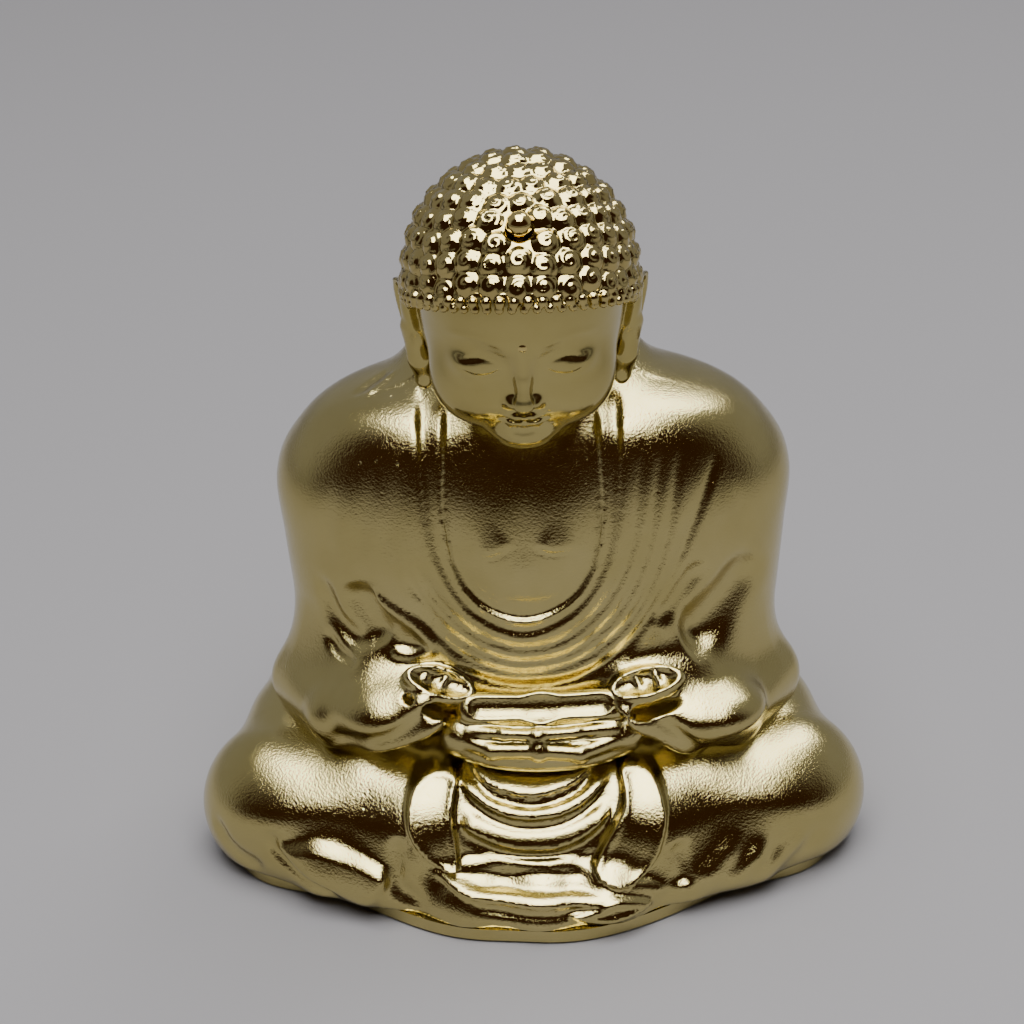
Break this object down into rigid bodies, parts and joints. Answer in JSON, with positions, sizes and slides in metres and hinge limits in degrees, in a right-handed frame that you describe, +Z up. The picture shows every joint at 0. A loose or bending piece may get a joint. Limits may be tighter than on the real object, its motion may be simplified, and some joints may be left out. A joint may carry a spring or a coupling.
{
  "type": "seated buddha statue",
  "caption": "Small gold-plated metal statue of a seated Buddha in meditation, made as hollow castings screwed together over a felted base plate.",
  "frame": {"origin": "middle of the footprint, on the surface the statue stands on", "axes": "+Z up, -Y to the front, where the face looks, +X to the right as seen from the front"},
  "size_m": [0.0536, 0.0401, 0.06],
  "materials": {
    "gold_plated_casting": "bright pale gold plating over a fine cast grain",
    "gold_plated_face": "bright pale gold plating over a smooth casting with tiny pits",
    "gold_plated_hair": "polished pale gold plating",
    "gold_plated_bead": "polished pale gold plating",
    "zinc_plated_steel": "zinc plated, turned",
    "felt": "pressed wool felt"
  },
  "bodies": {
    "root": {"base_plate": "gold_plated_casting", "base_screws": "zinc_plated_steel", "crown_jewel": "gold_plated_bead", "felt_pad": "felt", "hair_cap": "gold_plated_hair", "hands_casting": "gold_plated_casting", "head_casting": "gold_plated_face", "lap_casting": "gold_plated_casting", "neck_screw": "zinc_plated_steel", "neck_washer": "zinc_plated_steel", "torso_casting": "gold_plated_casting", "torso_screws": "zinc_plated_steel", "torso_washers": "zinc_plated_steel", "urna_bead": "gold_plated_bead"}
  },
  "joints": []
}
